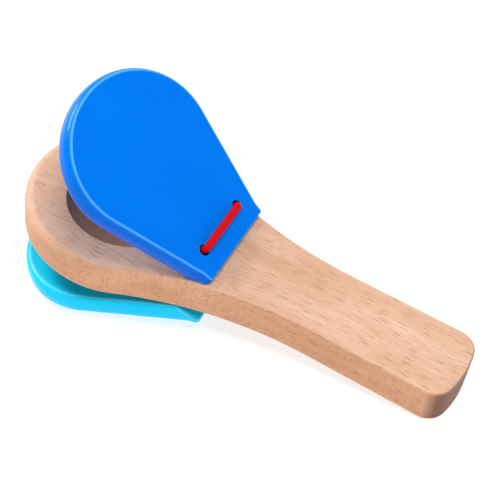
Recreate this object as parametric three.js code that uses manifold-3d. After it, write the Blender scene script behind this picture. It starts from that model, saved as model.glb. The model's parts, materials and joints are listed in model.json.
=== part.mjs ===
// Handle castanets: a beech paddle with a painted clapper on each face of its head, all laced together by one
// loop of elastic cord. Millimetres, +Z up. The head points to -X and the grip to +X.
//
// Three frames are used:
//   paddle frame   origin at the centre of the head, halfway through the wood
//   clapper frame  origin on the heel line that the clapper rocks on; the tip points to -X and the outer face to +Z
//   part frame     the castanets lying on a table at Z = 0, origin under the middle of the bounding box
import * as THREE from 'three';
import { mergeVertices } from 'three/addons/utils/BufferGeometryUtils.js';
import Module from 'manifold-3d';

const wasm = await Module();
wasm.setup();

const { degToRad } = THREE.MathUtils;

// ------------------------------------------------------------------ driving dimensions
const gap = 0.3; // left between wooden pieces that rest on each other

// Paddle
const paddleLength = 190.8;
const paddleThickness = 16.2;
const headHalfLength = 37.8;
const headHalfWidth = 39.2;
const neckStart = degToRad(64); // ellipse angle at which the head runs into the neck
const neckRadius = 173;
const gripTaper = degToRad(0.6); // the grip widens by this much towards its end
const gripCornerRadius = 8.6;
const gripEndRadius = 48;
const paddleEdgeRadius = 0.9; // of the grip and the neck
const headEdgeRadius = 3.5; // the front of the head is rounded over much more
const headEdgeStart = -6; // the radius shrinks from one to the other between these two
const headEdgeEnd = 20;

// Hollow turned into each face of the head
const hollowRadius = 24.7;
const hollowDepth = 6;
const hollowAngle = degToRad(75); // how far round an ellipse the dish's section goes; it is steepest at the rim
const hollowCentreX = 4.2;
const hollowCentreY = -1.2;

// Clapper
const clapperThickness = 8;
const clapperTipHalfLength = 31.4;
const clapperHalfWidth = 37.6;
const clapperRoundCentre = 53.2; // from the hinge end to the middle of the round part
const clapperTaper = degToRad(18);
const clapperFlareStart = 5.5; // from the hinge end, where the sides begin to turn parallel
const clapperFlareRadius = 10;
const clapperCornerRadius = 2.4;
const creaseInset = 1.8; // the flat outer face ends this far inside the outline
const bulgeHeight = 3.4; // height of the convex band under the crease
const bulgeAngle = degToRad(65);
const innerEdgeInset = 2.2;
const innerEdgeHeight = 2.6;
const endInsetShare = 0.35; // the straight hinge end is rounded less than the sides
const heelLength = 8.6; // from the hinge end to the line the clapper rocks on

// Lacing
const cordDiameter = 3.2;
const clapperHoleDiameter = 4.2;
const paddleBoreDiameter = 6.6;
const boreX = 39.6;
const holeFromEnd = 10.2;
const holeHalfSpacing = 13.6;
const cordInset = 0.4; // the taut cord lies against the holes' inner sides
const bendRadius = 1.75; // of the cord's centre line, round a hole's inner rim
const legSink = 0.3; // the cord is divided this far from the faces it passes through
const boreSlack = 0.2; // least room between the cord and its bore
const knotLength = 7;
const knotDiameter = 5.8;

// How the pieces sit: each clapper has slid and turned a little on its elastic lacing. The lower clapper is held
// nearly shut by the weight that rests on its tip.
const openAngle = degToRad(33.6); // a clapper's heel lies flat on the paddle at this angle
const upperSeat = { face: 1, angle: openAngle, heelX: 41.1, shift: 1, twist: degToRad(2.7) };
const lowerSeat = { face: -1, angle: degToRad(9.2), heelX: 40.9, shift: -1.4, twist: degToRad(3.4) };

// Segments in the round stretches
const headSteps = 28;
const neckSteps = 9;
const cornerSteps = 6;
const endSteps = 3;
const edgeSteps = 4;
const paddleEdgeSteps = 3;
const hollowSteps = 8;
const hollowSides = 56;
const boreSides = 24;
const cordSides = 8; // a full circle takes twice its curveSegments
const strandSteps = 40;
const legSteps = 4;

// ------------------------------------------------------------------ materials
const beech = new THREE.MeshStandardMaterial({ color: 0xe3bfa4, roughness: 0.6, metalness: 0 });
const darkBluePaint = new THREE.MeshStandardMaterial({ color: 0x007af2, roughness: 0.4, metalness: 0 });
const lightBluePaint = new THREE.MeshStandardMaterial({ color: 0x27bcf2, roughness: 0.35, metalness: 0 });
const redElastic = new THREE.MeshStandardMaterial({ color: 0xe8121c, roughness: 0.7, metalness: 0 });

// ------------------------------------------------------------------ solids
function toManifold(geometry) {
  const bare = geometry.clone();
  bare.deleteAttribute('normal');
  bare.deleteAttribute('uv');
  const merged = mergeVertices(bare, 1e-4);
  return new wasm.Manifold(new wasm.Mesh({
    numProp: 3,
    vertProperties: Float32Array.from(merged.attributes.position.array),
    triVerts: Uint32Array.from(merged.index.array),
  }));
}

function fromManifold(solid) {
  const { vertProperties, triVerts } = solid.getMesh();
  const geometry = new THREE.BufferGeometry();
  geometry.setAttribute('position', new THREE.BufferAttribute(Float32Array.from(vertProperties), 3));
  geometry.setIndex(new THREE.BufferAttribute(Uint32Array.from(triVerts), 1));
  geometry.computeVertexNormals();
  return geometry;
}

function cut(geometry, tools) {
  const solid = tools.reduce((left, tool) => left.subtract(toManifold(tool)), toManifold(geometry));
  return fromManifold(solid);
}

function uprightDrill(diameter, x, y, length) {
  const drill = new THREE.CylinderGeometry(diameter / 2, diameter / 2, length, boreSides);
  return drill.rotateX(Math.PI / 2).translate(x, y, 0);
}

function cord(points, steps) {
  const section = new THREE.Shape().absarc(0, 0, cordDiameter / 2, 0, 2 * Math.PI);
  const extrudePath = new THREE.CatmullRomCurve3(points);
  return new THREE.ExtrudeGeometry(section, { extrudePath, steps, curveSegments: cordSides / 2 });
}

function arc(centre, radiusX, radiusY, from, to, steps) {
  return new THREE.EllipseCurve(centre.x, centre.y, radiusX, radiusY, from, to, from > to).getPoints(steps);
}

// Joins the stretches of an outline's +Y half, which runs from the -X end to the +X end, and mirrors it. The
// closed outline runs anticlockwise.
function closedOutline(...stretches) {
  const half = stretches.flat().filter((p, i, all) => i === 0 || p.distanceTo(all[i - 1]) > 1e-3);
  const otherHalf = half.slice(1, -1).map((p) => new THREE.Vector2(p.x, -p.y));
  return [...half.reverse(), ...otherHalf];
}

function outwardNormals(outline) {
  const count = outline.length;
  return outline.map((_, i) => {
    const tangent = outline[(i + 1) % count].clone().sub(outline[(i + count - 1) % count]).normalize();
    return new THREE.Vector2(tangent.y, -tangent.x);
  });
}

// Skins a closed solid over rings of points that run from its lower face to its upper one. Each ring follows the
// outline point for point.
function skinned(outline, rings) {
  const count = outline.length;
  const indices = [];
  for (let ring = 0; ring < rings.length - 1; ring += 1) {
    for (let i = 0; i < count; i += 1) {
      const low = ring * count + i;
      const lowNext = ring * count + ((i + 1) % count);
      indices.push(low, lowNext, lowNext + count, low, lowNext + count, low + count);
    }
  }
  const topStart = (rings.length - 1) * count;
  for (const [a, b, c] of THREE.ShapeUtils.triangulateShape(outline, [])) {
    indices.push(c, b, a, topStart + a, topStart + b, topStart + c);
  }
  const geometry = new THREE.BufferGeometry();
  geometry.setAttribute('position', new THREE.Float32BufferAttribute(rings.flat(2), 3));
  geometry.setIndex(indices);
  return geometry;
}

// ------------------------------------------------------------------ paddle
function paddleOutline() {
  const origin = new THREE.Vector2();
  const headEnd = new THREE.Vector2(headHalfLength * Math.cos(neckStart), headHalfWidth * Math.sin(neckStart));
  const headNormal = new THREE.Vector2(headEnd.x / headHalfLength ** 2, headEnd.y / headHalfWidth ** 2).normalize();
  const neckCentre = headEnd.clone().addScaledVector(headNormal, neckRadius);

  // The grip's side is straight, tangent to the neck and to the corner.
  const along = new THREE.Vector2(Math.cos(gripTaper), Math.sin(gripTaper));
  const outward = new THREE.Vector2(-along.y, along.x);
  const sideStart = neckCentre.clone().addScaledVector(outward, -neckRadius);

  // The corner's centre lies one corner radius inside both the side and the end.
  const endCentre = new THREE.Vector2(paddleLength - headHalfLength - gripEndRadius, 0);
  const inset = sideStart.clone().addScaledVector(outward, -gripCornerRadius).sub(endCentre);
  const reach = gripEndRadius - gripCornerRadius;
  const run = Math.sqrt(inset.dot(along) ** 2 - inset.lengthSq() + reach ** 2) - inset.dot(along);
  const cornerCentre = inset.addScaledVector(along, run).add(endCentre);
  const endAngle = cornerCentre.clone().sub(endCentre).angle();

  const neckFrom = headNormal.clone().negate().angle();
  const neckTo = outward.clone().negate().angle();
  return closedOutline(
    arc(origin, headHalfLength, headHalfWidth, Math.PI, neckStart, headSteps),
    arc(neckCentre, neckRadius, neckRadius, neckFrom, neckTo, neckSteps),
    arc(cornerCentre, gripCornerRadius, gripCornerRadius, outward.angle(), endAngle, cornerSteps),
    arc(endCentre, gripEndRadius, gripEndRadius, endAngle, 0, endSteps),
  );
}

function hollowCutter(face) {
  const profile = [];
  for (let i = 0; i <= hollowSteps; i += 1) {
    const angle = (hollowAngle * i) / hollowSteps;
    profile.push(new THREE.Vector2(
      hollowRadius * (Math.sin(angle) / Math.sin(hollowAngle)),
      -hollowDepth * ((Math.cos(angle) - Math.cos(hollowAngle)) / (1 - Math.cos(hollowAngle))),
    ));
  }
  profile.push(new THREE.Vector2(hollowRadius, 1), new THREE.Vector2(0, 1));
  return new THREE.LatheGeometry(profile, hollowSides)
    .rotateX(Math.PI / 2)
    .translate(0, 0, paddleThickness / 2)
    .rotateX(face > 0 ? 0 : Math.PI)
    .translate(hollowCentreX, hollowCentreY, 0);
}

function paddleBlank() {
  const outline = paddleOutline();
  const normals = outwardNormals(outline);
  const radii = outline.map(({ x }) => {
    const gripShare = THREE.MathUtils.smoothstep(x, headEdgeStart, headEdgeEnd);
    return THREE.MathUtils.lerp(headEdgeRadius, paddleEdgeRadius, gripShare);
  });
  const edgeRing = (angle, face) => outline.map((p, i) => {
    const inset = radii[i] * (1 - Math.sin(angle));
    const height = paddleThickness / 2 - radii[i] * (1 - Math.cos(angle));
    return [p.x - inset * normals[i].x, p.y - inset * normals[i].y, face * height];
  });
  const angles = Array.from({ length: paddleEdgeSteps + 1 }, (_, i) => (Math.PI / 2) * (i / paddleEdgeSteps));
  const lower = angles.map((angle) => edgeRing(angle, -1));
  const upper = angles.map((angle) => edgeRing(angle, 1)).reverse();
  return skinned(outline, [...lower, ...upper]);
}

function handleGeometry() {
  const bores = [1, -1].map((side) => (
    uprightDrill(paddleBoreDiameter, boreX, side * holeHalfSpacing, 2 * paddleThickness)
  ));
  return cut(paddleBlank(), [hollowCutter(1), hollowCutter(-1), ...bores]);
}

// ------------------------------------------------------------------ clappers
function clapperOutline() {
  const roundCentre = new THREE.Vector2(heelLength - clapperRoundCentre, 0);
  const slope = Math.tan(clapperTaper);
  const taperStart = Math.atan2(clapperHalfWidth, clapperTipHalfLength * slope);
  const round = arc(roundCentre, clapperTipHalfLength, clapperHalfWidth, Math.PI, taperStart, headSteps);
  const roundEnd = round[round.length - 1];

  // The straight side turns parallel to the axis just before the hinge end's corner.
  const flareX = heelLength - clapperFlareStart;
  const flareCentre = new THREE.Vector2(
    flareX + clapperFlareRadius * Math.sin(clapperTaper),
    roundEnd.y - (flareX - roundEnd.x) * slope + clapperFlareRadius * Math.cos(clapperTaper),
  );
  const cornerCentre = new THREE.Vector2(
    heelLength - clapperCornerRadius,
    flareCentre.y - clapperFlareRadius - clapperCornerRadius,
  );
  const parallel = -Math.PI / 2;
  return closedOutline(
    round,
    arc(flareCentre, clapperFlareRadius, clapperFlareRadius, parallel - clapperTaper, parallel, endSteps),
    arc(cornerCentre, clapperCornerRadius, clapperCornerRadius, Math.PI / 2, 0, cornerSteps),
    [new THREE.Vector2(heelLength, 0)],
  );
}

// The edge's section, as height above the inner face and inset from the outline: a rounded inner edge, then a
// convex band that ends in a crease at the flat outer face.
function clapperEdge() {
  const edge = [];
  for (let i = 0; i <= edgeSteps; i += 1) {
    const angle = (Math.PI / 2) * (i / edgeSteps);
    edge.push({
      height: innerEdgeHeight * (1 - Math.cos(angle)),
      inset: innerEdgeInset * (1 - Math.sin(angle)),
    });
  }
  for (let i = 0; i <= edgeSteps; i += 1) {
    const angle = bulgeAngle * (i / edgeSteps);
    edge.push({
      height: clapperThickness - bulgeHeight * (1 - Math.sin(angle) / Math.sin(bulgeAngle)),
      inset: creaseInset * ((1 - Math.cos(angle)) / (1 - Math.cos(bulgeAngle))),
    });
  }
  return edge;
}

function clapperBlank() {
  const outline = clapperOutline();
  const normals = outwardNormals(outline);
  const rings = clapperEdge().map(({ height, inset }) => outline.map((p, i) => {
    const share = normals[i].x > 0 ? endInsetShare : 1;
    return [p.x - inset * share * normals[i].x, p.y - inset * normals[i].y, height];
  }));
  return skinned(outline, rings);
}

// Cuts the inner face away behind the heel line, so that it lies flat on the paddle when the clapper is open.
function heelCutter() {
  const size = 4 * heelLength;
  return new THREE.BoxGeometry(size, 3 * clapperHalfWidth, size)
    .translate(size / 2, 0, -size / 2)
    .rotateY(-openAngle);
}

function clapperGeometry() {
  const holes = [1, -1].map((side) => (
    uprightDrill(clapperHoleDiameter, heelLength - holeFromEnd, side * holeHalfSpacing, 3 * clapperThickness)
  ));
  return cut(clapperBlank(), [heelCutter(), ...holes]);
}

// ------------------------------------------------------------------ elastic cord
// Up through one hole of a clapper, over the outer face and down through the other, in the clapper frame.
function strandGeometry() {
  const x = heelLength - holeFromEnd;
  const leg = holeHalfSpacing - cordInset;
  const bend = [20, 45, 70, 90].map(degToRad).map((angle) => [
    leg - bendRadius * (1 - Math.cos(angle)),
    clapperThickness + bendRadius * Math.sin(angle),
  ]);
  const [, top] = bend[bend.length - 1];
  const half = [[leg, legSink], [leg, clapperThickness / 2], [leg, clapperThickness], ...bend, [leg / 2, top]];
  const otherHalf = half.map(([y, z]) => [-y, z]).reverse();
  const route = [...half, ...otherHalf].map(([y, z]) => new THREE.Vector3(x, y, z));
  return cord(route, strandSteps);
}

// Where the cord passes a face of the paddle, in the paddle frame: as near its clapper's hole as the bore lets it.
function boreMouth(seat, side) {
  const leg = side * (holeHalfSpacing - cordInset);
  const fromHeel = new THREE.Vector2((heelLength - holeFromEnd) * Math.cos(seat.angle), leg);
  const hole = fromHeel.rotateAround(new THREE.Vector2(), seat.twist).add(new THREE.Vector2(seat.heelX, seat.shift));
  const bore = new THREE.Vector2(boreX, side * holeHalfSpacing);
  const room = (paddleBoreDiameter - cordDiameter) / 2 - boreSlack;
  const place = hole.sub(bore).clampLength(0, room).add(bore);
  return new THREE.Vector3(place.x, place.y, seat.face * (paddleThickness / 2 - legSink));
}

function knotGeometry() {
  return new THREE.SphereGeometry(knotDiameter / 2, 16, 10).scale(1, 1, knotLength / knotDiameter);
}

// ------------------------------------------------------------------ assembly
function named(name, geometry, material) {
  const mesh = new THREE.Mesh(geometry, material);
  mesh.name = name;
  return mesh;
}

function seatedClapper(seat, pieces) {
  const group = new THREE.Group();
  group.position.set(seat.heelX, seat.shift, seat.face * (paddleThickness / 2 + gap));
  group.rotation.set(seat.face > 0 ? 0 : Math.PI, seat.face * seat.angle, seat.twist, 'ZYX');
  group.add(...pieces);
  return group;
}

function lacingThroughPaddle() {
  const [right, left] = [1, -1].map((side) => [boreMouth(upperSeat, side), boreMouth(lowerSeat, side)]);
  const knot = named('elastic_knot', knotGeometry(), redElastic);
  knot.position.set(boreX, -holeHalfSpacing, 0);
  const axis = left[0].clone().sub(left[1]).normalize();
  const halfKnot = axis.clone().multiplyScalar(knotLength / 2 + legSink);
  return [
    knot,
    named('elastic_right_leg', cord(right, legSteps), redElastic),
    named('elastic_left_leg_upper', cord([left[0], knot.position.clone().add(halfKnot)], legSteps), redElastic),
    named('elastic_left_leg_lower', cord([knot.position.clone().sub(halfKnot), left[1]], legSteps), redElastic),
  ];
}

// Turns the assembly about Y until the grip's end and the lower clapper's tip stand on one level.
function settle(assembly, grip, tip) {
  const lowest = (mesh) => new THREE.Box3().setFromObject(mesh, true).min.z;
  let level = 0;
  let steep = degToRad(20);
  for (let i = 0; i < 40; i += 1) {
    assembly.rotation.y = (level + steep) / 2;
    assembly.updateMatrixWorld(true);
    if (lowest(tip) < lowest(grip)) level = assembly.rotation.y;
    else steep = assembly.rotation.y;
  }
}

const handle = named('handle', handleGeometry(), beech);
const upperClapper = named('upper_clapper', clapperGeometry(), darkBluePaint);
const lowerClapper = named('lower_clapper', clapperGeometry(), lightBluePaint);
const upperStrand = named('elastic_upper_strand', strandGeometry(), redElastic);
const lowerStrand = named('elastic_lower_strand', strandGeometry(), redElastic);

const castanets = new THREE.Group();
castanets.add(
  handle,
  seatedClapper(upperSeat, [upperClapper, upperStrand]),
  seatedClapper(lowerSeat, [lowerClapper, lowerStrand]),
  ...lacingThroughPaddle(),
);
settle(castanets, handle, lowerClapper);

const part = new THREE.Group();
part.add(castanets);
const bounds = new THREE.Box3().setFromObject(part, true);
castanets.position.sub(new THREE.Vector3(
  (bounds.min.x + bounds.max.x) / 2, (bounds.min.y + bounds.max.y) / 2, bounds.min.z,
));

export default part;
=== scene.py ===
"""Handle castanets: a beech paddle, two painted clappers and the braided elastic that laces them together.

Everything is in metres, apart from the spans of the materials' patterns. Three frames are used, all worked
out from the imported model:
  row frame      the castanets lying on the floor at z = 0
  paddle frame   origin at the centre of the head, +X to the grip's end, +Z out of the upper face
  clapper frame  origin on the heel line that a clapper rocks on, tip towards -X, outer face towards +Z
"""

import json
import math

import bmesh
import bpy
import numpy as np
from mathutils import Matrix, Vector, noise
from mathutils.geometry import delaunay_2d_cdt


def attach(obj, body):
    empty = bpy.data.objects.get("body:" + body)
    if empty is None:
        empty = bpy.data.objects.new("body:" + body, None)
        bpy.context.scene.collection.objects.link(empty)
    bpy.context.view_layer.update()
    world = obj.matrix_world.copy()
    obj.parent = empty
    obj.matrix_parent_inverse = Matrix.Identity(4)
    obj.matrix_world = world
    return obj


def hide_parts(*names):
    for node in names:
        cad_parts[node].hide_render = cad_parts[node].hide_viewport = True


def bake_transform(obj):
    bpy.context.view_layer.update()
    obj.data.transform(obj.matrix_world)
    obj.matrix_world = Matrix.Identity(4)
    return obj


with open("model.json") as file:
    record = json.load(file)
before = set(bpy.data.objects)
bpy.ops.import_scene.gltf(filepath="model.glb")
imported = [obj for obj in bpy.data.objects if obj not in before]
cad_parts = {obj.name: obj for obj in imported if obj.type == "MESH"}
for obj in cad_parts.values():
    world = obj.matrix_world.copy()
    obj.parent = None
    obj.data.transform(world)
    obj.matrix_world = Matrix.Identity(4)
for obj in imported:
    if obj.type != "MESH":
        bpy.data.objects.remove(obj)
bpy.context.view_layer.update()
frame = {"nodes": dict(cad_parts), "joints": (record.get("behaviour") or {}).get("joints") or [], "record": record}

MM = 0.001

# ------------------------------------------------------------------ sizes shared with the CAD
PADDLE_LENGTH = 190.8 * MM
PADDLE_THICKNESS = 16.2 * MM
HEAD_HALF_LENGTH = 37.8 * MM
HEAD_HALF_WIDTH = 39.2 * MM
NECK_START = math.radians(64)
NECK_RADIUS = 173 * MM
GRIP_TAPER = math.radians(0.6)
GRIP_CORNER_RADIUS = 8.6 * MM
GRIP_END_RADIUS = 48 * MM
PADDLE_EDGE_RADIUS = 0.9 * MM
HEAD_EDGE_RADIUS = 3.5 * MM
HEAD_EDGE_SPAN = (-6 * MM, 20 * MM)

HOLLOW_RADIUS = 24.7 * MM
HOLLOW_DEPTH = 6 * MM
HOLLOW_ANGLE = math.radians(75)
HOLLOW_CENTRE = (4.2 * MM, -1.2 * MM)

CLAPPER_THICKNESS = 8 * MM
CLAPPER_TIP_HALF_LENGTH = 31.4 * MM
CLAPPER_HALF_WIDTH = 37.6 * MM
CLAPPER_ROUND_CENTRE = 53.2 * MM
CLAPPER_TAPER = math.radians(18)
CLAPPER_FLARE_START = 5.5 * MM
CLAPPER_FLARE_RADIUS = 10 * MM
CLAPPER_CORNER_RADIUS = 2.4 * MM
CREASE_INSET = 1.8 * MM
BULGE_HEIGHT = 3.4 * MM
BULGE_ANGLE = math.radians(65)
INNER_EDGE_INSET = 2.2 * MM
INNER_EDGE_HEIGHT = 2.6 * MM
END_INSET_SHARE = 0.35
HEEL_LENGTH = 8.6 * MM
HEEL_ANGLE = math.radians(33.6)

CORD_RADIUS = 1.6 * MM
CORD_INSET = 0.4 * MM
CORD_BEND_RADIUS = 1.75 * MM
CLAPPER_HOLE_RADIUS = 2.1 * MM
PADDLE_BORE_RADIUS = 3.3 * MM
BORE_X = 39.6 * MM
HOLE_X = HEEL_LENGTH - 10.2 * MM
HOLE_HALF_SPACING = 13.6 * MM
BORE_SLACK = 0.2 * MM
KNOT_LENGTH = 7 * MM

# ------------------------------------------------------------------ fine shape, added here
OUTLINE_STEP = 0.5 * MM
EDGE_UNEVENNESS = 0.18  # hand sanding varies the edge radius by this share
SANDING_DEPTH = 0.08 * MM
SANDING_SPAN = 16 * MM
END_GRAIN_REACH = 3 * GRIP_CORNER_RADIUS  # from the grip's end
SUPPORT = 0.3 * MM  # width of the flat band beside a rounding, which keeps the flat face's shading flat
ROUNDING_STEPS = 7
WALL_STEPS = 5
WALL_MARGIN = 0.04  # the wall's first and last rings lie this share inside its ends

HOLLOW_SIDES = 240
HOLLOW_RINGS = 30
RIM_TEAR = 0.16 * MM
RIM_TEAR_SPAN = 1.1 * MM
RIM_WEAR = 0.12 * MM

BORE_SIDES = 48
PADDLE_MOUTH = 0.3 * MM
CLAPPER_MOUTH = 0.22 * MM

HEEL_SOFTNESS = 0.2 * MM
HEEL_EDGE = 0.32 * MM
HEEL_EDGE_WEAR_AND_HIGHLIGHT = 0.4  # how much of the pale wear and painted highlight the heel's edge takes; the crease's is 1
HEEL_STATIONS = (0, 0.2, 0.5, 1, 2, 4)  # in mm on both sides of the heel line
BEVEL_TRIES = 4
CREASE_SOFTNESS = 0.26 * MM
BAND_STEPS = 16
EDGE_STEPS = 5

BRAID_CARRIERS = 8
BRAID_PITCH = 9 * MM
BRAID_DEPTH = 0.16 * MM
CORD_SIDES = 72
CORD_STEP = 0.11 * MM
CORD_BEND_STEPS = 6
PATH_SAMPLES = 60
FIRST_SPOKE = (0.3, 0.5, 0.8)  # any direction that no cord starts in
KNOT_CORD_RADIUS = 0.95 * MM
KNOT_SIZE = 0.65 * MM
KNOT_POINTS = 61

# ------------------------------------------------------------------ the studio
FLOOR_RADIUS = 4.0
FLOOR_SWEEP = 1.8
FLOOR_SWEEP_STEPS = 25
FLOOR_SIDES = 96
FLOOR_GLOW = 0.72
WORLD_GLOW = 0.05
LIGHT_AIM = Vector((0, 0, 0.03))
LIGHTS = (  # name, direction it comes from, distance, size, power in watts
    ("left", (-0.78, 0.16, 0.6), 0.9, 0.34, 6.8),
    ("overhead", (0.3, 0.1, 1), 1.1, 0.9, 8.7),
    ("crease", (0.12, -0.1, 1), 0.8, 0.24, 1.6),
    ("front", (0, -1, 0.42), 1.1, 1.3, 3.4),
)

# ------------------------------------------------------------------ colours, linear
BEECH_PALE = (0.75, 0.500, 0.365)
BEECH_DEEP = (0.60, 0.340, 0.220)
BEECH_RAY = (0.23, 0.080, 0.036)
# Painted shade: the tint that darkens the side walls.
WALL_SHADE_TINT = (1.03, 0.86, 0.70)
# End grain, darkened further as painted shade.
BEECH_END_AND_SHADE = (0.14, 0.045, 0.018)
# Painted shade in the hollows.
HOLLOW_SHADE = (0.17, 0.062, 0.038)
DARK_BLUE = (  # the faces, their deeper patches, the sides in painted shade, the edges pale from wear with a painted highlight, and the tint of the gloss
    (0.0005, 0.180, 0.810),
    (0.0005, 0.168, 0.780),
    (0.0005, 0.065, 0.540),
    (0.14, 0.50, 0.97),
    (0.3, 0.8, 1),
)
# Same columns for the light blue; its sides' painted shade is only a little deeper than its faces.
LIGHT_BLUE = (
    (0.010, 0.640, 0.970),
    (0.006, 0.590, 0.950),
    (0.006, 0.600, 0.950),
    (0.35, 0.82, 0.98),
    (0.7, 0.95, 1),
)
DARK_BLUE_ROUGHNESS = 0.22
LIGHT_BLUE_ROUGHNESS = 0.20
CORD_RED = (0.80, 0.003, 0.008)
# The painted shade of the braid's grooves, also the tone of the fine threads.
CORD_GROOVE = (0.16, 0.001, 0.003)
FLOOR_TONE = (0.38, 0.38, 0.38)

# ------------------------------------------------------------------ patterns: spans in mm along x, y, z
WANDER_SPAN = (46, 16, 16)
WANDER_SHARE = (1, 0.2, 0.2)  # the wander is divided by these, so it is larger across the board
PATCH_SPAN = (60, 9, 9)
FIBRE_SPAN = (9, 0.35, 0.35)
GROWTH_SPAN = (120, 2.6, 2.6)
RAY_SPAN = (9, 0.52, 0.52)
SPECK_SPAN = (3, 0.45, 0.45)
CLOUD_SPAN = (26, 14, 14)
STROKE_SPAN = (18, 0.7, 0.7)
PEEL_SPAN = (1.5, 1.5, 1.5)
PIGMENT_SPAN = (0.35, 0.35, 0.35)
THREAD_SPAN = (0.18, 0.18, 0.18)

PORE_DEPTH = 0.05 * MM
FIBRE_DEPTH = 0.035 * MM
CUTTER_DEPTH = 0.012 * MM
CUTTER_RATE = 9  # radians of the cutter's wave for each mm of radius
PAINT_DEPTH = 0.006 * MM
THREAD_DEPTH = 0.02 * MM


# ------------------------------------------------------------------ frames
def matrix_of(origin, x, y, z):
    turn = Matrix((x, y, z)).transposed().to_4x4()
    return Matrix.Translation(origin) @ turn


def paddle_frame():
    grip_top = next(m for m in frame["record"]["mounts"] if m["name"] == "grip_top")
    up = Vector(grip_top["axis"]).normalized()
    along = Vector((0, 1, 0)).cross(up).normalized()
    across = up.cross(along)
    points = [v.co for v in frame["nodes"]["handle"].data.vertices]

    def span(axis):
        values = [p.dot(axis) for p in points]
        return min(values), max(values)

    tip = span(along)[0]
    origin = along * (tip + HEAD_HALF_LENGTH)
    origin += across * (sum(span(across)) / 2) + up * (sum(span(up)) / 2)
    return matrix_of(origin, along, across, up)


def clapper_frame(joint_name, closed_normal):
    joint = next(j for j in frame["joints"] if j["name"] == joint_name)
    hinge = Vector(joint["axis"]).normalized()
    opening = Matrix.Rotation(-math.radians(joint["range_deg"][1]), 3, hinge)
    outward = (opening @ closed_normal).normalized()
    return matrix_of(Vector(joint["pos_m"]), (-hinge).cross(outward), -hinge, outward)


PADDLE = paddle_frame()
PADDLE_UP = PADDLE.to_3x3() @ Vector((0, 0, 1))
UPPER = clapper_frame("upper_clapper_hinge", PADDLE_UP)
LOWER = clapper_frame("lower_clapper_hinge", -PADDLE_UP)


# ------------------------------------------------------------------ camera
CAMERA_AZIMUTH = math.radians(21.5)
CAMERA_ELEVATION = math.radians(49.09)
CAMERA_ROLL = math.radians(10.88)
CAMERA_DISTANCE = 596.8 * MM
CAMERA_TARGET = Vector((54.11 * MM, 10.74 * MM, 0))
CAMERA_LENS = 108
CAMERA_SENSOR = 36


def make_camera():
    flat = math.cos(CAMERA_ELEVATION)
    back = Vector((
        math.sin(CAMERA_AZIMUTH) * flat,
        -math.cos(CAMERA_AZIMUTH) * flat,
        math.sin(CAMERA_ELEVATION),
    ))
    right = (-back).cross(Vector((0, 0, 1))).normalized()
    level = matrix_of(CAMERA_TARGET + back * CAMERA_DISTANCE, right, back.cross(right), back)
    data = bpy.data.cameras.new("camera")
    data.lens = CAMERA_LENS
    data.sensor_width = CAMERA_SENSOR
    camera = bpy.data.objects.new("camera", data)
    camera.matrix_world = PADDLE @ level @ Matrix.Rotation(CAMERA_ROLL, 4, "Z")
    bpy.context.scene.collection.objects.link(camera)
    bpy.context.scene.camera = camera


make_camera()


# ------------------------------------------------------------------ mesh building
class Shell:
    """The points, faces and point marks of one piece."""

    def __init__(self):
        self.points = []
        self.faces = []
        self.marks = {}
        self.count = 0

    def add(self, points, **marks):
        points = np.asarray(points, float).reshape(-1, 3)
        for name, value in marks.items():
            self.marks.setdefault(name, []).append((self.count, np.broadcast_to(value, len(points))))
        self.points.append(points)
        self.count += len(points)
        return np.arange(self.count - len(points), self.count)

    def stack(self, rings):
        """Joins each closed ring to the next with quads."""
        for a, b in zip(rings, rings[1:]):
            self.faces += np.stack((a, np.roll(a, -1), np.roll(b, -1), b), axis=1).tolist()

    def fan(self, ring, centre, **marks):
        """Closes a ring with triangles to a centre point."""
        middle = self.add(centre, **marks)[0]
        nexts = np.roll(ring, -1)
        self.faces += [[int(a), int(b), int(middle)] for a, b in zip(ring, nexts)]

    def plate(self, outer, holes, inner=()):
        """Fills the face between an outer ring and the rings of its holes, through the inner points too."""
        loops = [outer, *holes]
        used = np.concatenate([*loops, np.asarray(inner, int)])
        flat = [Vector(p[:2] / MM) for p in np.concatenate(self.points)[used]]
        starts = np.cumsum([0] + [len(loop) for loop in loops])
        outlines = [list(range(start, start + len(loop))) for start, loop in zip(starts, loops)]
        _, _, triangles, origins, _, owners = delaunay_2d_cdt(flat, [], outlines, 1, 1e-5)
        # Triangles in a hole belong to its outline as well as to the outer one, and are left out.
        for triangle, owner in zip(triangles, owners):
            if list(owner) == [0]:
                self.faces.append([int(used[origins[v][0]]) for v in triangle])

    def build(self, name, matrix, material):
        """Makes the object in the row frame. Its material finds the shell's own coordinates, in millimetres,
        in the place attribute, so its pattern follows the piece."""
        points = np.concatenate(self.points)
        turned = points @ np.array(matrix.to_3x3()).T + np.array(matrix.translation)
        mesh = bpy.data.meshes.new(name)
        mesh.from_pydata(turned.tolist(), [], self.faces)
        work = bmesh.new()
        work.from_mesh(mesh)
        bmesh.ops.recalc_face_normals(work, faces=work.faces)
        work.to_mesh(mesh)
        work.free()
        for mark, spans in self.marks.items():
            values = np.zeros(self.count, np.float32)
            for start, part in spans:
                values[start:start + len(part)] = part
            mesh.attributes.new(mark, "FLOAT", "POINT").data.foreach_set("value", values)
        places = mesh.attributes.new("place", "FLOAT_VECTOR", "POINT")
        places.data.foreach_set("vector", (points / MM).astype(np.float32).ravel())
        mesh.shade_smooth()
        mesh.materials.append(material)
        piece = bpy.data.objects.new(name, mesh)
        bpy.context.scene.collection.objects.link(piece)
        return piece


def unit(vector):
    return vector / np.hypot(*vector)


def angle_of(vector):
    return math.atan2(vector[1], vector[0]) % (2 * math.pi)


def arc(centre, radius_x, radius_y, start, end):
    steps = max(4, math.ceil(abs(end - start) * max(radius_x, radius_y) / (OUTLINE_STEP / 2)))
    angles = np.linspace(start, end, steps + 1)
    return np.column_stack((centre[0] + radius_x * np.cos(angles), centre[1] + radius_y * np.sin(angles)))


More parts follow.
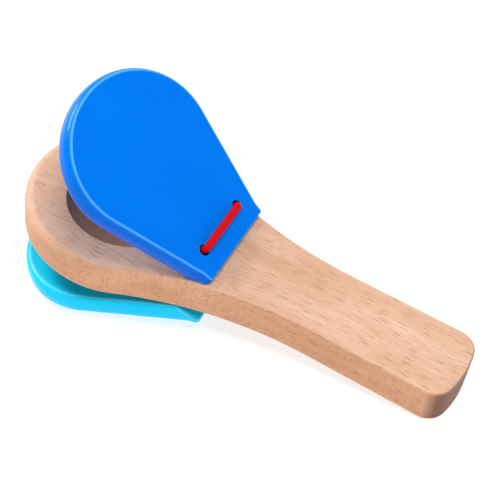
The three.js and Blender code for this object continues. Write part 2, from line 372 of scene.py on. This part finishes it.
def closed_outline(*stretches):
    """Joins the stretches of an outline's +Y half, mirrors it, and spaces its points evenly. Returns the
    anticlockwise points and their outward normals."""
    half = np.vstack(stretches)[::-1]
    line = np.vstack((half, (half * (1, -1))[::-1]))
    line = np.vstack((line, line[:1]))
    lengths = np.concatenate(([0], np.cumsum(np.hypot(*np.diff(line, axis=0).T))))
    places = np.linspace(0, lengths[-1], round(lengths[-1] / OUTLINE_STEP), endpoint=False)
    outline = np.column_stack([np.interp(places, lengths, line[:, i]) for i in (0, 1)])
    tangent = np.roll(outline, -1, axis=0) - np.roll(outline, 1, axis=0)
    tangent /= np.hypot(*tangent.T)[:, None]
    return outline, np.column_stack((tangent[:, 1], -tangent[:, 0]))


def wobble(points, span, seed):
    """Smooth noise between -1 and 1 at flat points, with features about a span long."""
    return np.array([noise.noise(Vector((x / span, y / span, seed))) for x, y in points])


def circle(centre, radius, sides):
    angles = np.linspace(0, 2 * math.pi, sides, endpoint=False)
    ring = np.column_stack((np.cos(angles), np.sin(angles)))
    return np.asarray(centre) + ring * np.reshape(radius, (-1, 1))


def lift(flat, height):
    return np.column_stack((flat, np.broadcast_to(height, len(flat))))


def level(height):
    """A flat face, as the function of x that bore() takes."""
    return lambda x: height + 0 * x


def bore(shell, centre, radius, mouth, floor_of, roof_of):
    """A hole from the face at floor_of(x) to the face at roof_of(x), with rounded mouths. Returns the rings
    that the two faces join, lower one first."""
    profile = [(radius + mouth + SUPPORT, 0)]
    for turn in np.linspace(0, math.pi / 2, EDGE_STEPS):
        profile.append((radius + mouth * (1 - math.sin(turn)), mouth * (1 - math.cos(turn))))
    profile.append((radius, mouth + SUPPORT))
    rings = []
    for face_of, inward in ((floor_of, 1), (roof_of, -1)):
        ends = []
        for reach, depth in profile:
            flat = circle(centre, reach, BORE_SIDES)
            ends.append(shell.add(lift(flat, face_of(flat[:, 0]) + inward * depth), bore=float(depth > 0)))
        rings += ends if inward > 0 else ends[::-1]
    shell.stack(rings)
    return rings[0], rings[-1]


# ------------------------------------------------------------------ paddle
def paddle_outline():
    head_end = np.array((HEAD_HALF_LENGTH * math.cos(NECK_START), HEAD_HALF_WIDTH * math.sin(NECK_START)))
    head_normal = unit(head_end / (HEAD_HALF_LENGTH ** 2, HEAD_HALF_WIDTH ** 2))
    neck_centre = head_end + head_normal * NECK_RADIUS

    along = np.array((math.cos(GRIP_TAPER), math.sin(GRIP_TAPER)))
    outward = np.array((-along[1], along[0]))
    side_start = neck_centre - outward * NECK_RADIUS

    end_centre = np.array((PADDLE_LENGTH - HEAD_HALF_LENGTH - GRIP_END_RADIUS, 0))
    inset = side_start - outward * GRIP_CORNER_RADIUS - end_centre
    reach = GRIP_END_RADIUS - GRIP_CORNER_RADIUS
    run = math.sqrt(inset.dot(along) ** 2 - inset.dot(inset) + reach ** 2) - inset.dot(along)
    corner_centre = end_centre + inset + along * run
    end_angle = angle_of(corner_centre - end_centre)
    return closed_outline(
        arc((0, 0), HEAD_HALF_LENGTH, HEAD_HALF_WIDTH, math.pi, NECK_START),
        arc(neck_centre, NECK_RADIUS, NECK_RADIUS, angle_of(-head_normal), angle_of(-outward)),
        arc(corner_centre, GRIP_CORNER_RADIUS, GRIP_CORNER_RADIUS, angle_of(outward), end_angle),
        arc(end_centre, GRIP_END_RADIUS, GRIP_END_RADIUS, end_angle, 0),
    )


def paddle_side(shell, half):
    """The wall with its rounded edges. Returns the rings that the upper and lower faces join."""
    outline, outward = paddle_outline()
    start, end = HEAD_EDGE_SPAN
    grip_share = np.clip((outline[:, 0] - start) / (end - start), 0, 1)
    grip_share = grip_share ** 2 * (3 - 2 * grip_share)
    nominal = HEAD_EDGE_RADIUS + (PADDLE_EDGE_RADIUS - HEAD_EDGE_RADIUS) * grip_share
    sanded = SANDING_DEPTH * (1 + wobble(outline, SANDING_SPAN, 3)) / 2
    # Marks the grip's end for its end grain, darkened further as painted shade.
    at_end = outline[:, 0] > PADDLE_LENGTH - HEAD_HALF_LENGTH - END_GRAIN_REACH
    end_grain = np.where(at_end, np.maximum(outward[:, 0], 0), 0)

    def ring(inset, height, wall_share, edge):
        flat = outline - outward * np.reshape(inset + sanded, (-1, 1))
        return shell.add(lift(flat, height), end_grain=end_grain * wall_share, wall=wall_share, edge=edge)

    def rounding(face):
        """Rings from the flat face to the top of the wall."""
        radius = nominal * (1 + EDGE_UNEVENNESS * wobble(outline, SANDING_SPAN, face))
        made = [ring(radius + SUPPORT, face * half, 0, 0)]
        for turn in np.linspace(0, math.pi / 2, ROUNDING_STEPS):
            inset = radius * (1 - math.sin(turn))
            height = face * (half - radius * (1 - math.cos(turn)))
            made.append(ring(inset, height, math.sin(turn), math.sin(2 * turn)))
        return made, face * (half - radius)

    upper, wall_top = rounding(1)
    lower, wall_foot = rounding(-1)
    wall = [
        ring(0, wall_top + (wall_foot - wall_top) * share, 1, 0)
        for share in (WALL_MARGIN, *np.linspace(0, 1, WALL_STEPS)[1:-1], 1 - WALL_MARGIN)
    ]
    shell.stack([*upper, *wall, *lower[::-1]])
    return upper[0], lower[0]


def paddle_hollow(shell, half, face):
    """The dished hollow in one face, its rim slightly torn by the cutter. Returns the ring the face joins."""
    tear = RIM_TEAR * wobble(circle((0, 0), HOLLOW_RADIUS, HOLLOW_SIDES), RIM_TEAR_SPAN, 7 * face)

    def ring(radius, depth, hollow):
        flat = circle(HOLLOW_CENTRE, radius, HOLLOW_SIDES)
        return shell.add(lift(flat, face * (half - depth)), hollow=hollow)

    rings = [
        ring(HOLLOW_RADIUS + tear + RIM_WEAR + SUPPORT, 0, 0),
        ring(HOLLOW_RADIUS + tear + RIM_WEAR, 0, 0.5),
    ]
    for i in range(HOLLOW_RINGS):
        share = 1 - i / HOLLOW_RINGS
        angle = HOLLOW_ANGLE * share
        radius = HOLLOW_RADIUS * math.sin(angle) / math.sin(HOLLOW_ANGLE) + tear * share ** HOLLOW_RINGS
        depth = HOLLOW_DEPTH * (math.cos(angle) - math.cos(HOLLOW_ANGLE)) / (1 - math.cos(HOLLOW_ANGLE))
        rings.append(ring(radius, depth + RIM_WEAR * share ** HOLLOW_RINGS, 1))
    shell.stack(rings)
    shell.fan(rings[-1], (*HOLLOW_CENTRE, face * (half - HOLLOW_DEPTH)), hollow=1)
    return rings[0]


def make_paddle(material):
    shell = Shell()
    half = PADDLE_THICKNESS / 2
    sides = paddle_side(shell, half)
    hollows = [paddle_hollow(shell, half, face) for face in (1, -1)]
    bores = [
        bore(shell, centre, PADDLE_BORE_RADIUS, PADDLE_MOUTH, level(-half), level(half))
        for centre in ((BORE_X, HOLE_HALF_SPACING), (BORE_X, -HOLE_HALF_SPACING))
    ]
    shell.plate(sides[0], [hollows[0], *(upper for _, upper in bores)])
    shell.plate(sides[1], [hollows[1], *(lower for lower, _ in bores)])
    piece = shell.build("beech_paddle", PADDLE, material)
    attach(piece, "handle")
    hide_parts("handle")


# ------------------------------------------------------------------ clappers
def clapper_outline():
    round_centre = (HEEL_LENGTH - CLAPPER_ROUND_CENTRE, 0)
    slope = math.tan(CLAPPER_TAPER)
    taper_start = math.atan2(CLAPPER_HALF_WIDTH, CLAPPER_TIP_HALF_LENGTH * slope)
    tip = arc(round_centre, CLAPPER_TIP_HALF_LENGTH, CLAPPER_HALF_WIDTH, math.pi, taper_start)

    flare_x = HEEL_LENGTH - CLAPPER_FLARE_START
    flare_centre = (
        flare_x + CLAPPER_FLARE_RADIUS * math.sin(CLAPPER_TAPER),
        tip[-1][1] - (flare_x - tip[-1][0]) * slope + CLAPPER_FLARE_RADIUS * math.cos(CLAPPER_TAPER),
    )
    corner_centre = (
        HEEL_LENGTH - CLAPPER_CORNER_RADIUS,
        flare_centre[1] - CLAPPER_FLARE_RADIUS - CLAPPER_CORNER_RADIUS,
    )
    parallel = -math.pi / 2
    return closed_outline(
        tip,
        arc(flare_centre, CLAPPER_FLARE_RADIUS, CLAPPER_FLARE_RADIUS, parallel - CLAPPER_TAPER, parallel),
        arc(corner_centre, CLAPPER_CORNER_RADIUS, CLAPPER_CORNER_RADIUS, math.pi / 2, 0),
        [(HEEL_LENGTH, 0)],
    )


def heel_height(x):
    """Height of the inner face: flat, then rising along the heel's bevel, with a soft line between them."""
    rise = x * math.tan(HEEL_ANGLE)
    return (rise + np.sqrt(rise ** 2 + HEEL_SOFTNESS ** 2)) / 2


def band_profile():
    """The edge's section as inset and height: a rounded inner edge, then a convex band up to the crease."""
    turn = np.linspace(0, math.pi / 2, 3 * BAND_STEPS)
    inner = np.column_stack((INNER_EDGE_INSET * (1 - np.sin(turn)), INNER_EDGE_HEIGHT * (1 - np.cos(turn))))
    swell = np.linspace(0, BULGE_ANGLE, 3 * BAND_STEPS)
    band = np.column_stack((
        CREASE_INSET * (1 - np.cos(swell)) / (1 - math.cos(BULGE_ANGLE)),
        CLAPPER_THICKNESS - BULGE_HEIGHT * (1 - np.sin(swell) / math.sin(BULGE_ANGLE)),
    ))
    return np.vstack((inner, band))


def bend(a, b, c):
    """Rings of points on a curve that leaves a for b and arrives at c, which rounds the corner b."""
    return [(1 - t) ** 2 * a + 2 * t * (1 - t) * b + t * t * c for t in np.linspace(0, 1, EDGE_STEPS)]


def clapper_band(shell):
    """The clapper's edge all round. Returns the rings that the inner and outer faces join."""
    outline, outward = clapper_outline()
    pull = np.column_stack((np.where(outward[:, 0] > 0, END_INSET_SHARE, 1) * outward[:, 0], outward[:, 1]))
    inset, height = band_profile().T
    lengths = np.concatenate(([0], np.cumsum(np.hypot(np.diff(inset), np.diff(height)))))

    def inner_face(reach):
        flat = outline - pull * np.reshape(reach, (-1, 1))
        return lift(flat, heel_height(flat[:, 0]))

    def band(length):
        flat = outline - pull * np.interp(length, lengths, inset)[:, None]
        return lift(flat, np.interp(length, lengths, height))

    # Where the bevel meets the band: found by trying the inset that the last height gives.
    start = np.full(len(outline), INNER_EDGE_INSET)
    for _ in range(BEVEL_TRIES):
        start = np.interp(inner_face(start)[:, 2], height, inset)
    first = np.interp(inner_face(start)[:, 2], height, lengths)
    last = np.full(len(outline), lengths[-1])

    def outer_face(reach):
        flat = outline - pull * (CREASE_INSET + reach)
        return lift(flat, CLAPPER_THICKNESS)

    # Painted shade on the sides: the band mark darkens the sides that face the heel, most near the inner edge.
    side_shade_share = (1 + outward[:, 0]) / 2
    rings = [shell.add(inner_face(start + HEEL_EDGE + SUPPORT), edge=0)]
    for points in bend(inner_face(start + HEEL_EDGE), inner_face(start), band(first + HEEL_EDGE)):
        rings.append(shell.add(points, edge=HEEL_EDGE_WEAR_AND_HIGHLIGHT))
    for share in np.linspace(0, 1, BAND_STEPS)[1:-1]:
        length = first + HEEL_EDGE + (last - CREASE_SOFTNESS - first - HEEL_EDGE) * share
        rings.append(shell.add(band(length), edge=0, band=(1 - share ** 4) * side_shade_share))
    # The crease takes the full edge mark, which the paint turns pale: wear with a painted highlight.
    crease = bend(band(last - CREASE_SOFTNESS), outer_face(0), outer_face(CREASE_SOFTNESS))
    for points in crease:
        rings.append(shell.add(points, edge=1))
    rings.append(shell.add(outer_face(CREASE_SOFTNESS + SUPPORT), edge=0))
    shell.stack(rings)
    return rings[0], rings[-1]


def heel_points(shell, inner_ring, holes):
    """Points on the inner face beside the heel line, so that the face can bend there."""
    ring = np.concatenate(shell.points)[inner_ring]
    upper = ring[ring[:, 1] > 0]
    upper = upper[np.argsort(upper[:, 0])]
    made = []
    for x in np.array([-x for x in HEEL_STATIONS[:0:-1]] + list(HEEL_STATIONS)) * MM:
        limit = np.interp(x, upper[:, 0], upper[:, 1]) - 2 * SUPPORT
        for y in np.arange(-limit, limit, MM):
            clear = min(math.hypot(x - hx, y - hy) for hx, hy in holes)
            if clear > CLAPPER_HOLE_RADIUS + CLAPPER_MOUTH + 2 * SUPPORT:
                made.append((x, y, heel_height(x)))
    return shell.add(made)


def make_clapper(name, body, matrix, material):
    shell = Shell()
    inner, outer = clapper_band(shell)
    holes = [(HOLE_X, side * HOLE_HALF_SPACING) for side in (1, -1)]
    bores = [
        bore(shell, hole, CLAPPER_HOLE_RADIUS, CLAPPER_MOUTH, heel_height, level(CLAPPER_THICKNESS))
        for hole in holes
    ]
    shell.plate(inner, [lower for lower, _ in bores], heel_points(shell, inner, holes))
    shell.plate(outer, [upper for _, upper in bores])
    piece = shell.build(name, matrix, material)
    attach(piece, body)
    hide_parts(body)


# ------------------------------------------------------------------ cord
LEG_Y = HOLE_HALF_SPACING - CORD_INSET
STRAND_BEND = [
    (LEG_Y - CORD_BEND_RADIUS * (1 - math.cos(turn)), CLAPPER_THICKNESS + CORD_BEND_RADIUS * math.sin(turn))
    for turn in np.linspace(0, math.pi / 2, CORD_BEND_STEPS)
]
STRAND_ROUTE = [  # distance from the clapper's middle, and height, in the clapper frame
    (LEG_Y, 2.2 * MM),
    (LEG_Y, CLAPPER_THICKNESS / 2),
    (LEG_Y, CLAPPER_THICKNESS - 1.2 * MM),
    *STRAND_BEND,
    (LEG_Y - 1.2 * CORD_BEND_RADIUS, CLAPPER_THICKNESS + CORD_BEND_RADIUS),
    (LEG_Y / 2, CLAPPER_THICKNESS + CORD_BEND_RADIUS),
]
LEG_TURN = 5.2 * MM  # height in the bore from which the cord leans towards its clapper's hole


def bore_mouth(clapper, face, side):
    """Where the cord passes a face of the paddle, in the paddle frame: as near its hole as the bore lets."""
    hole = PADDLE.inverted() @ clapper @ Vector((HOLE_X, face * side * LEG_Y, 0))
    middle = Vector((BORE_X, side * HOLE_HALF_SPACING))
    away = hole.xy - middle
    room = PADDLE_BORE_RADIUS - CORD_RADIUS - BORE_SLACK
    if away.length > room:
        away *= room / away.length
    return Vector((*(middle + away), face * PADDLE_THICKNESS / 2))


def leg_point(side, height):
    """A point of the cord inside a bore, in the row frame."""
    lower, upper = bore_mouth(LOWER, -1, side), bore_mouth(UPPER, 1, side)
    return PADDLE @ lower.lerp(upper, height / PADDLE_THICKNESS + 0.5)


def smooth_path(points, step):
    """Points at even steps on a smooth curve through the given ones."""
    points = np.array([tuple(p) for p in points])
    padded = np.vstack((2 * points[0] - points[1], points, 2 * points[-1] - points[-2]))
    fine = []
    for p0, p1, p2, p3 in zip(padded, padded[1:], padded[2:], padded[3:]):
        t = np.linspace(0, 1, PATH_SAMPLES, endpoint=False)[:, None]
        cubic = 3 * (p1 - p2) + p3 - p0
        fine.append(p1 + t * ((p2 - p0) + t * ((2 * p0 - 5 * p1 + 4 * p2 - p3) + t * cubic)) / 2)
    fine = np.vstack((*fine, points[-1:]))
    lengths = np.concatenate(([0], np.cumsum(np.linalg.norm(np.diff(fine, axis=0), axis=1))))
    places = np.linspace(0, lengths[-1], round(lengths[-1] / step) + 1)
    return np.column_stack([np.interp(places, lengths, fine[:, i]) for i in range(3)]), places


def braid_height(along, around):
    """How proud the braid's surface stands, from 0 in a groove to 1, where along is in pitches."""
    a = BRAID_CARRIERS * (around + along)
    b = BRAID_CARRIERS * (around - along)
    a_on_top = (np.floor(a) + np.floor(b)) % 2 == 0
    across = np.where(a_on_top, b, a) % 1
    lengthways = np.where(a_on_top, a, b) % 1
    return np.sin(math.pi * across) ** 0.7 * (0.5 + 0.5 * np.sin(math.pi * lengthways))


def braided_tube(name, points, radius, matrix, material, closed=False):
    """A braided cord along the points. An open one has its ends capped."""
    path, places = smooth_path(points, CORD_STEP)
    if closed:
        path, places = path[:-1], places[:-1]
    tangents = np.gradient(path, axis=0)
    tangents /= np.linalg.norm(tangents, axis=1)[:, None]
    side = np.cross(tangents[0], FIRST_SPOKE)
    sides = []
    for tangent in tangents:
        side = side - tangent * side.dot(tangent)
        side /= np.linalg.norm(side)
        sides.append(side)
    sides = np.array(sides)
    others = np.cross(tangents, sides)
    around = np.linspace(0, 1, CORD_SIDES, endpoint=False)
    proud = braid_height(places[:, None] / BRAID_PITCH, around[None, :])
    reach = radius - BRAID_DEPTH * (1 - proud)
    turn = 2 * math.pi * around
    shell = Shell()
    rings = []
    for i, centre in enumerate(path):
        spokes = np.outer(np.cos(turn), sides[i]) + np.outer(np.sin(turn), others[i])
        rings.append(shell.add(centre + spokes * reach[i][:, None], groove=1 - proud[i]))
    shell.stack(rings + rings[:1] if closed else rings)
    if not closed:
        shell.fan(rings[0], path[0], groove=0.5)
        shell.fan(rings[-1], path[-1], groove=0.5)
    return shell.build(name, matrix, material), places[-1]


def lace(name, face, clapper, nodes, material):
    """The cord from the middle of the +Y bore, over one clapper, to the knot in the -Y bore."""
    route = [leg_point(1, 0), leg_point(1, face * LEG_TURN / 2), leg_point(1, face * LEG_TURN)]
    strand = [(face * y, z) for y, z in STRAND_ROUTE] + [(-face * y, z) for y, z in STRAND_ROUTE[::-1]]
    route += [clapper @ Vector((HOLE_X, y, z)) for y, z in strand]
    route += [leg_point(-1, face * LEG_TURN), leg_point(-1, face * KNOT_LENGTH / 2)]
    piece, length = braided_tube(name, route, CORD_RADIUS, Matrix.Identity(4), material)
    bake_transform(piece)
    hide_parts(*nodes)
    return length


def make_knot(material):
    """A stand-in for the knot inside the -Y bore: a closed three-lobed loop of thinner cord."""
    turns = np.linspace(0, 2 * math.pi, KNOT_POINTS)
    loop = KNOT_SIZE * np.column_stack((
        np.sin(turns) + 2 * np.sin(2 * turns),
        1.6 * -np.sin(3 * turns),
        np.cos(turns) - 2 * np.cos(2 * turns),
    ))
    place = PADDLE @ Matrix.Translation((BORE_X, -HOLE_HALF_SPACING, 0))
    piece, _ = braided_tube("cord_knot", loop, KNOT_CORD_RADIUS, place, material, closed=True)
    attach(piece, "handle")
    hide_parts("elastic_knot")


# ------------------------------------------------------------------ materials
class Finish:
    """A node material. Each method adds one node and returns its output."""

    def __init__(self, name, **constants):
        self.material = bpy.data.materials.new(name)
        self.material.use_nodes = True
        self.tree = self.material.node_tree
        self.shader = self.tree.nodes["Principled BSDF"]
        for socket, value in constants.items():
            self.shader.inputs[socket.replace("_", " ")].default_value = value

    def node(self, kind, output=0, settings=None, inputs=()):
        made = self.tree.nodes.new("ShaderNode" + kind)
        for name, value in (settings or {}).items():
            setattr(made, name, value)
        for socket, value in dict(inputs).items():
            if isinstance(value, bpy.types.NodeSocket):
                self.tree.links.new(value, made.inputs[socket])
            else:
                made.inputs[socket].default_value = value
        return made.outputs[output]

    def place(self):
        return self.node("Attribute", "Vector", {"attribute_name": "place"})

    def stretch(self, vector, spans):
        """Makes a pattern of unit size take the given size along each axis."""
        shares = tuple(1 / s for s in spans)
        return self.node("VectorMath", 0, {"operation": "MULTIPLY"}, {0: vector, 1: shares})

    def add_vectors(self, a, b):
        return self.node("VectorMath", 0, {"operation": "ADD"}, {0: a, 1: b})

    def noise(self, vector, detail=3, output="Fac"):
        return self.node("TexNoise", output, None, {"Vector": vector, "Scale": 1, "Detail": detail})

    def mark(self, name):
        return self.node("Attribute", "Fac", {"attribute_name": name})

    def maths(self, operation, a, b=0.5):
        return self.node("Math", 0, {"operation": operation}, {0: a, 1: b})

    def remap(self, value, low, high, to_low=0, to_high=1):
        sizes = {"Value": value, "From Min": low, "From Max": high, "To Min": to_low, "To Max": to_high}
        return self.node("MapRange", 0, None, sizes)

    def mix(self, share, a, b, blend="MIX"):
        colours = [(*c, 1) if isinstance(c, tuple) else c for c in (a, b)]
        inputs = {0: share, 6: colours[0], 7: colours[1]}
        return self.node("Mix", 2, {"data_type": "RGBA", "blend_type": blend}, inputs)

    def bump(self, height, depth, under=None):
        inputs = {"Height": height, "Distance": depth, "Strength": 1}
        if under is not None:
            inputs["Normal"] = under
        return self.node("Bump", 0, None, inputs)

    def finish(self, colour, roughness, normal):
        for socket, value in (("Base Color", colour), ("Roughness", roughness), ("Normal", normal)):
            self.tree.links.new(value, self.shader.inputs[socket])
        return self.material


def dashes(finish, place, spans, core, reach, share_kept):
    """Short streaks scattered at random in the wood, strong within core cells of a middle, 0 beyond reach."""
    cells = finish.stretch(place, spans)
    inputs = {"Vector": cells, "Scale": 1, "Randomness": 1}
    distance = finish.node("TexVoronoi", "Distance", None, inputs)
    colour = finish.node("TexVoronoi", "Color", None, inputs)
    chance = finish.node("SeparateColor", 0, None, {0: colour})
    kept = finish.remap(chance, 1 - share_kept, 1, 0.25, 1)
    kept = finish.maths("MULTIPLY", kept, finish.maths("GREATER_THAN", chance, 1 - share_kept))
    return finish.maths("MULTIPLY", finish.remap(distance, reach, core), kept)


def make_beech():
    finish = Finish("beech", Specular_IOR_Level=0.35)
    place = finish.place()

    # The grain wanders a little as it runs along the board.
    wander = finish.noise(finish.stretch(place, WANDER_SPAN), 1, "Color")
    wander = finish.node("VectorMath", 0, {"operation": "SUBTRACT"}, {0: wander, 1: (0.5, 0.5, 0.5)})
    grain = finish.add_vectors(place, finish.stretch(wander, WANDER_SHARE))

    patches = finish.noise(finish.stretch(grain, PATCH_SPAN), 2)
    fibres = finish.noise(finish.stretch(grain, FIBRE_SPAN), 3)
    growth = finish.noise(finish.stretch(grain, GROWTH_SPAN), 2)

    colour = finish.mix(finish.remap(patches, 0.32, 0.70), BEECH_DEEP, BEECH_PALE)
    colour = finish.mix(finish.remap(growth, 0.50, 0.68, 0, 0.35), colour, BEECH_DEEP)
    colour = finish.mix(finish.remap(fibres, 0.32, 0.62, 0.8, 0), colour, BEECH_DEEP)

    rays = dashes(finish, grain, RAY_SPAN, 0.12, 0.36, 0.65)
    specks = dashes(finish, grain, SPECK_SPAN, 0.08, 0.38, 0.6)
    wall = finish.mark("wall")
    speck_share = finish.maths("MULTIPLY", specks, finish.remap(wall, 0, 1, 0.38, 0.8))
    colour = finish.mix(finish.maths("MULTIPLY", rays, 0.95), colour, BEECH_RAY)
    colour = finish.mix(speck_share, colour, BEECH_RAY)
    # Painted shade on the side walls.
    colour = finish.mix(wall, colour, WALL_SHADE_TINT, "MULTIPLY")

    # End grain at the grip's end, darkened further as painted shade.
    ends = finish.remap(finish.mark("end_grain"), 0.1, 0.65, 0, 0.85)
    colour = finish.mix(ends, colour, BEECH_END_AND_SHADE)
    colour = finish.mix(finish.maths("MULTIPLY", finish.mark("edge"), 0.3), colour, BEECH_PALE)
    # Painted shade in the hollows.
    colour = finish.mix(finish.maths("MULTIPLY", finish.mark("hollow"), 0.82), colour, HOLLOW_SHADE)

    # Rings left by the cutter that turned the hollow.
    offset = finish.add_vectors(place, (-HOLLOW_CENTRE[0] / MM, -HOLLOW_CENTRE[1] / MM, 0))
    radial = finish.node("VectorMath", 0, {"operation": "MULTIPLY"}, {0: offset, 1: (1, 1, 0)})
    radius = finish.node("VectorMath", "Value", {"operation": "LENGTH"}, {0: radial})
    turned = finish.maths("SINE", finish.maths("MULTIPLY", radius, CUTTER_RATE))
    turned = finish.maths("MULTIPLY", turned, finish.mark("hollow"))

    roughness = finish.remap(fibres, 0.2, 0.8, 0.50, 0.62)
    pores = finish.maths("ADD", rays, specks)
    normal = finish.bump(finish.maths("MULTIPLY", pores, -1), PORE_DEPTH)
    normal = finish.bump(fibres, FIBRE_DEPTH, normal)
    normal = finish.bump(turned, CUTTER_DEPTH, normal)
    return finish.finish(colour, roughness, normal)


def make_paint(name, tone, deep, side, wear_and_highlight, gleam, roughness):
    """Brushed paint: slightly uneven, with painted shade on the sides, edges pale from wear with a painted
    highlight, and painted shade in the holes.
    """
    finish = Finish(name, Specular_IOR_Level=0.16, Specular_Tint=(*gleam, 1))
    place = finish.place()
    cloud = finish.noise(finish.stretch(place, CLOUD_SPAN), 2)
    strokes = finish.noise(finish.stretch(place, STROKE_SPAN), 2)
    peel = finish.noise(finish.stretch(place, PEEL_SPAN), 2)
    pigment = finish.noise(finish.stretch(place, PIGMENT_SPAN), 1)

    colour = finish.mix(finish.remap(cloud, 0.35, 0.65), deep, tone)
    colour = finish.mix(finish.remap(pigment, 0.35, 0.7, 0, 0.12), colour, deep)
    # Painted shade on the sides.
    colour = finish.mix(finish.mark("band"), colour, side)
    # Edges pale from wear, with a painted highlight along the crease.
    colour = finish.mix(finish.maths("MULTIPLY", finish.mark("edge"), 0.55), colour, wear_and_highlight)
    # Painted shade inside the holes, where the bores are unlit.
    dark = tuple(0.05 * c for c in tone)
    colour = finish.mix(finish.maths("MULTIPLY", finish.mark("bore"), 0.9), colour, dark)

    normal = finish.bump(strokes, PAINT_DEPTH)
    normal = finish.bump(peel, PAINT_DEPTH, normal)
    return finish.finish(colour, finish.remap(peel, 0.3, 0.7, roughness - 0.03, roughness + 0.03), normal)


def make_elastic():
    """Braided thread: painted shade in the grooves, with fine threads in each strand."""
    finish = Finish("red_elastic", Specular_IOR_Level=0.2, Specular_Tint=(1, 0.3, 0.3, 1))
    place = finish.place()
    threads = finish.noise(finish.stretch(place, THREAD_SPAN), 2)
    groove = finish.mark("groove")
    # Painted shade in the grooves between the strands.
    colour = finish.mix(finish.remap(groove, 0.25, 1), CORD_RED, CORD_GROOVE)
    colour = finish.mix(finish.remap(threads, 0.45, 0.75, 0, 0.25), colour, CORD_GROOVE)
    roughness = finish.remap(threads, 0.3, 0.7, 0.55, 0.7)
    return finish.finish(colour, roughness, finish.bump(threads, THREAD_DEPTH))


# ------------------------------------------------------------------ stage
def area_light(name, towards, distance, size, power):
    """A square soft light that shines on the middle of the castanets from the given direction."""
    data = bpy.data.lights.new(name, "AREA")
    data.size = size
    data.energy = power
    light = bpy.data.objects.new(name, data)
    direction = Vector(towards).normalized()
    light.location = LIGHT_AIM + direction * distance
    light.rotation_mode = "QUATERNION"
    light.rotation_quaternion = direction.to_track_quat("Z", "Y")
    bpy.context.scene.collection.objects.link(light)


def make_floor():
    """A lit table that sweeps up all round. It glows, so the shadows on it stay faint."""
    finish = Finish("floor_white", Base_Color=(*FLOOR_TONE, 1), Roughness=0.8, Specular_IOR_Level=0.1,
                    Emission_Color=(1, 1, 1, 1), Emission_Strength=FLOOR_GLOW)
    shell = Shell()
    rings = []
    for turn in np.linspace(0, math.pi / 2, FLOOR_SWEEP_STEPS):
        flat = circle((0, 0), FLOOR_RADIUS + FLOOR_SWEEP * math.sin(turn), FLOOR_SIDES)
        rings.append(shell.add(lift(flat, FLOOR_SWEEP * (1 - math.cos(turn)))))
    shell.stack(rings)
    shell.fan(rings[0], (0, 0, 0))
    shell.build("floor", Matrix.Identity(4), finish.material)


def make_studio():
    make_floor()
    world = bpy.data.worlds.new("studio")
    world.use_nodes = True
    world.node_tree.nodes["Background"].inputs["Color"].default_value = (1, 1, 1, 1)
    world.node_tree.nodes["Background"].inputs["Strength"].default_value = WORLD_GLOW
    bpy.context.scene.world = world

    for light in LIGHTS:
        area_light(*light)
    bpy.context.scene.view_settings.view_transform = "Standard"


# ------------------------------------------------------------------ the castanets
elastic = make_elastic()
lengths = [
    lace("cord_upper", 1, UPPER,
         ["elastic_upper_strand", "elastic_right_leg", "elastic_left_leg_upper"], elastic),
    lace("cord_lower", -1, LOWER,
         ["elastic_lower_strand", "elastic_left_leg_lower"], elastic),
]
print("cord lengths in mm, upper and lower:", [round(length / MM, 1) for length in lengths])
make_knot(elastic)
make_paddle(make_beech())
make_clapper("dark_blue_clapper", "upper_clapper", UPPER,
             make_paint("dark_blue_paint", *DARK_BLUE, DARK_BLUE_ROUGHNESS))
make_clapper("light_blue_clapper", "lower_clapper", LOWER,
             make_paint("light_blue_paint", *LIGHT_BLUE, LIGHT_BLUE_ROUGHNESS))
make_studio()
